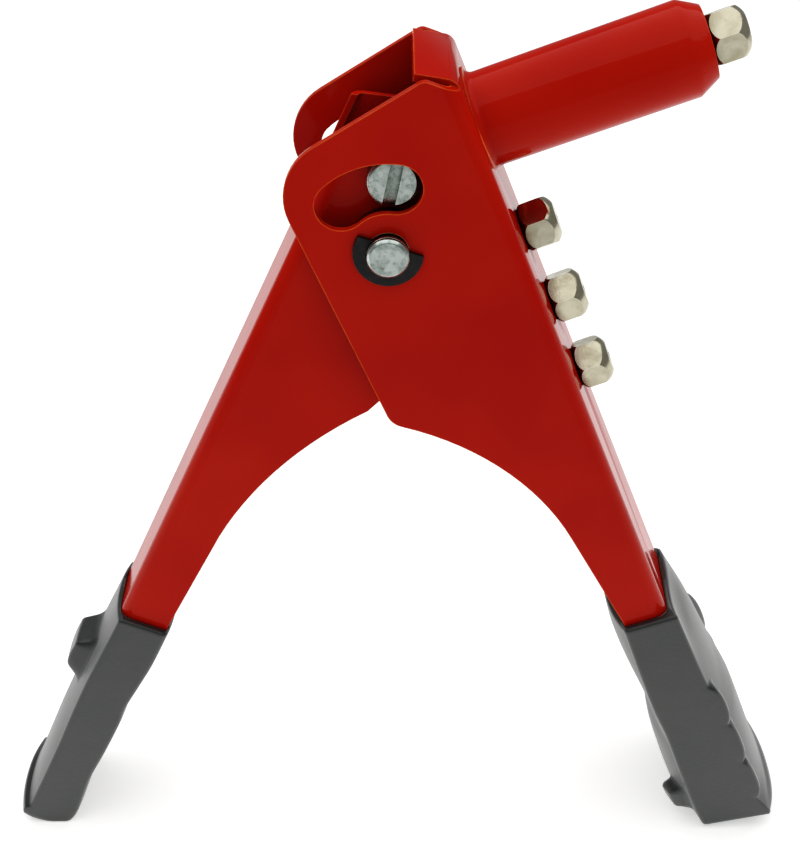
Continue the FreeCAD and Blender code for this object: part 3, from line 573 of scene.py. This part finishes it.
# Outlines as (distance down the lever, depth) stops in millimetres; STOP_DOWN gives shares of
# STOP_HEIGHT.  Groups of four are the limits of a swell.
FRONT_WEB = ((115, -2.1), (134, -2.6), (142.5, -3.0), (150, -3.6), (187, -4.4), (194, -6.2), (202, -6.6))
FRONT_CROWN = ((115, -1.2), (120, -1.5), (124, -2.2), (130, -3.9), (137, -5.0), (149, -6.1),
               (155, -7.0), (161, -7.7), (193, -7.7), (195, -8.6), (202, -8.7))
FRONT_PALM = ((116, 11.4), (134, 12.1), (146, 12.4), (156, 12.1), (170, 12.5), (188, 12.7), (200, 11.5))
FRONT_SWOLLEN = ((116, 14.4), (124, 15.3), (134, 15.2), (143, 14.3), (150, 13.6), (155, 14.0),
                 (161, 16.1), (170, 16.9), (180, 17.3), (186, 17.0), (194, 13.6))
FRONT_CUSPS, CUSP_DEEP, LOBE_PEAK = (142.5, 157.0, 172.3, 187.0), 0.0, 1.9
FAR_RISE = ((115, 1.8), (124, 1.3), (135, 0.0))
STUD_HEIGHT, STUD_DOWN, STUD_ACROSS = 3.6, (179.5, 181.2, 186.6, 188.6), (-16.0, -14.6, -10.9, -9.5)
REAR_WEB = ((121, 0.1), (129, -0.1), (137, -0.4), (148, -0.7), (160, -0.6), (172, -0.3), (195, -0.3),
            (198.2, -0.5), (198.9, -1.4), (206, -1.6))
REAR_CROWN = ((121, -1.3), (141, -1.9), (160, -2.3), (171, -2.4), (185, -2.1), (197.9, -1.95),
              (198.6, -3.05), (206, -3.2))
REAR_PALM = ((121, 12.9), (134, 12.9), (142.6, 12.3), (151, 11.7), (158, 12.1), (170, 12.0),
             (181, 11.6), (189, 12.1), (197, 12.5), (203, 11.0))
STOP_HEIGHT, STOP_ACROSS = 4.6, (-6.6, -4.8, 4.8, 6.6)
STOP_DOWN = ((137, 0), (139, 0.3), (141.5, 0.93), (143, 1.0), (148, 1.0), (150, 0.85), (152.5, 0.25),
             (154.5, 0))


def fixed_outer(s):
    """Outside of the front grip: crowned back, scalloped cheeks, finger groove and latch stud."""
    palm = follow(FRONT_PALM, s)
    stud = STUD_HEIGHT * swell(s, *STUD_DOWN)
    return section(follow(FRONT_WEB, s), follow(FRONT_CROWN, s), palm, follow(FRONT_SWOLLEN, s) - palm,
                   half=18.5, web_round=0.9, palm_round=1.2,
                   palm_extra=lambda y: stud * swell(y, *STUD_ACROSS),
                   scallop=lobes(s, FRONT_CUSPS, CUSP_DEEP, LOBE_PEAK),
                   far_rise=follow(FAR_RISE, s))


def fixed_end(depth, across):
    """Slanted end: it rises from the palm edge that the tool stands on towards the back."""
    heel, heel_depth, slope = 193.4, 13.2, 0.13
    crown_half, crown_start, crown_slope = 17.0, -3.5, 0.5
    crown = max(0.0, 1 - abs(across / crown_half) ** 3)
    return heel + (heel_depth - depth) * slope + crown * max(0.0, crown_start - depth) * crown_slope


def moving_outer(s):
    """Outside of the rear grip: low crown, thumb stop in the middle and a lip at the foot."""
    stop = STOP_HEIGHT * follow(STOP_DOWN, s)
    return section(follow(REAR_WEB, s), follow(REAR_CROWN, s), follow(REAR_PALM, s), 0.9,
                   half=13.0, web_round=0.8, palm_round=1.4,
                   web_extra=lambda y: stop * swell(y, *STOP_ACROSS))


def moving_end(depth, across):
    """Flat end, rounded up towards the palm and rising a little at the web."""
    foot, round_start, round_rate, lip_start, lip_slope = 203.6, 5.0, 0.045, 1.5, 0.35
    rounded = max(0.0, depth - round_start) ** 2 * round_rate
    return foot - rounded - max(0.0, lip_start - depth) * lip_slope


def steel_hole(depth, half):
    """Ring of the steel channel that fills a sleeve."""
    return section(-0.15, -0.15, depth, 0.0, half, web_round=3.0, palm_round=0.4)


Grip("front_grip", "fixed_frame", "fixed_grip", FIXED, web_depth=25.3, toward=-1,
     outer=fixed_outer, steel=steel_hole(10.9, 16.65), end=fixed_end,
     rim=115.8, end_round=1.6, far_drop=9.0)
Grip("rear_grip", "handle", "moving_grip", MOVING, web_depth=-17.2, toward=1,
     outer=moving_outer, steel=steel_hole(12.35, 11.15), end=moving_end,
     rim=121.6, end_round=2.2, far_drop=3.0)


# -------------------------------------------------------------- return spring

def coil_spring(name, wire, radius, turns, low, high):
    """Open coil of round wire about the bore's axis, between two distances from the pivot."""
    steps, sides = 36, 10
    count = int(turns * steps)
    made = bmesh.new()
    loops = []
    for index in range(count + 1):
        share = index / count
        turn = 2 * math.pi * turns * share
        out = low + wire + (high - low - 2 * wire) * share
        ring = []
        for side in range(sides):
            angle = 2 * math.pi * side / sides
            reach = radius + wire * math.cos(angle)
            spot = Vector((out + wire * math.sin(angle), reach * math.cos(turn),
                           BORE_RISE + reach * math.sin(turn)))
            ring.append(made.verts.new(BORE @ spot))
        loops.append(ring)
    for ring, following in zip(loops, loops[1:]):
        wall(made, ring, following)
    for ring in (loops[0], loops[-1]):
        made.faces.new(ring)
    return coat(finished(name, made), "spring_steel")


GUIDE_FRONT, SPRING_END, SQUEEZED = 22.3, 37.85, 0.345
spring = coil_spring("return_coil", 0.5, 4.9, 4.0, GUIDE_FRONT, SPRING_END)
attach(spring, "fixed_frame")
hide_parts("return_spring")
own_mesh(spring)


# --------------------------------------------------------------- stage, light

def make_floor():
    mesh = bpy.data.meshes.new("floor")
    half, below = 3.0, 0.0002
    corners = [(-half, -half, 0), (half, -half, 0), (half, half, 0), (-half, half, 0)]
    mesh.from_pydata(corners, [], [(0, 1, 2, 3)])
    floor = bpy.data.objects.new("floor", mesh)
    bpy.context.scene.collection.objects.link(floor)
    floor.location.z = -below
    mesh.materials.append(paper())


def make_light(name, spot, target, size, power):
    lamp = bpy.data.lights.new(name, "AREA")
    lamp.shape = "RECTANGLE"
    lamp.size, lamp.size_y = size
    lamp.energy = power
    light = bpy.data.objects.new(name, lamp)
    light.location = spot
    light.rotation_euler = (Vector(target) - Vector(spot)).to_track_quat("-Z", "Y").to_euler()
    bpy.context.scene.collection.objects.link(light)


def make_world(strength):
    world = bpy.data.worlds.new("studio")
    world.use_nodes = True
    world.node_tree.nodes["Background"].inputs["Color"].default_value = (1.0, 1.0, 1.0, 1)
    world.node_tree.nodes["Background"].inputs["Strength"].default_value = strength
    bpy.context.scene.world = world


def make_camera():
    """Camera above the near side, looking down at the middle of the levers."""
    dip = math.radians(34.5)
    back = 0.317
    aim = Vector((0.00239, 0, -0.05484))
    roll = Matrix.Rotation(math.radians(1.3), 4, "Y")
    place = Matrix.Translation(aim + Vector((0, -math.cos(dip), math.sin(dip))) * back)
    turn = Matrix.Rotation(math.pi / 2 - dip, 4, "X")
    lens = bpy.data.cameras.new("camera")
    lens.lens = 56.5
    lens.sensor_width = 36.0
    lens.clip_start = 0.01
    camera = bpy.data.objects.new("camera", lens)
    camera.matrix_world = Matrix.Translation(PIVOT) @ roll @ place @ turn
    bpy.context.scene.collection.objects.link(camera)
    bpy.context.scene.camera = camera


def set_view():
    """Plain display transform with a curve that deepens the darkest tones."""
    view = bpy.context.scene.view_settings
    view.view_transform = "Standard"
    view.look = "None"
    view.use_curve_mapping = True
    curve = view.curve_mapping.curves[3]
    for level, shown in ((0.025, 0.013), (0.12, 0.112), (0.5, 0.505)):
        curve.points.new(level, shown)
    view.curve_mapping.update()


make_floor()
make_world(strength=0.3)
make_light("overhead", spot=(0.0, 0.1, 1.0), target=(0, 0.05, 0.0), size=(2.2, 1.5), power=12.5)
make_camera()
set_view()
